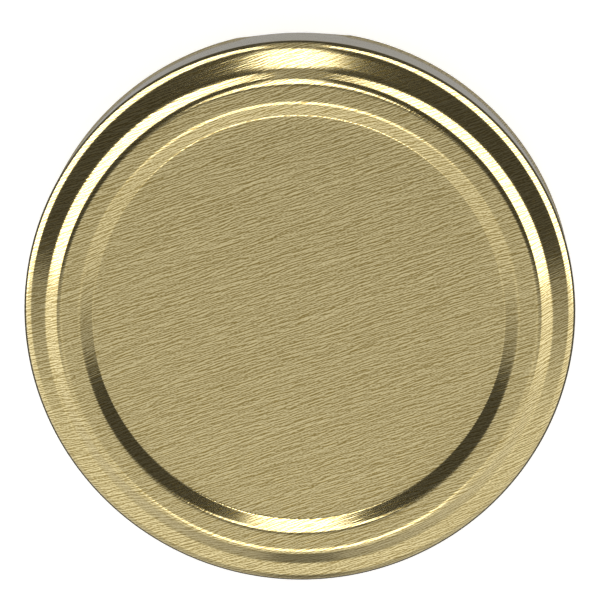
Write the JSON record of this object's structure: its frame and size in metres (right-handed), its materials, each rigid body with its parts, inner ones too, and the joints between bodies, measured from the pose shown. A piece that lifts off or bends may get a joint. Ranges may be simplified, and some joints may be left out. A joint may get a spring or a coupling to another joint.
{
  "type": "twist-off lid",
  "caption": "Round stamped metal twist-off jar lid with a sunk panel, stepped edge, rolled rim with inward lugs, and a sealing ring cast inside.",
  "frame": {"origin": "on the lid's axis in the plane of the rim", "axes": "+Z along the lid's axis, out through the panel; the lugs stand on X and Y"},
  "size_m": [0.0512, 0.0512, 0.0102],
  "materials": {
    "gold_tinplate": "gold lacquer over tinplate brushed in one direction",
    "sealing_compound": "smooth matt off-white plastisol"
  },
  "bodies": {
    "root": {"cap_shell": "gold_tinplate", "sealing_ring": "sealing_compound"}
  },
  "joints": []
}
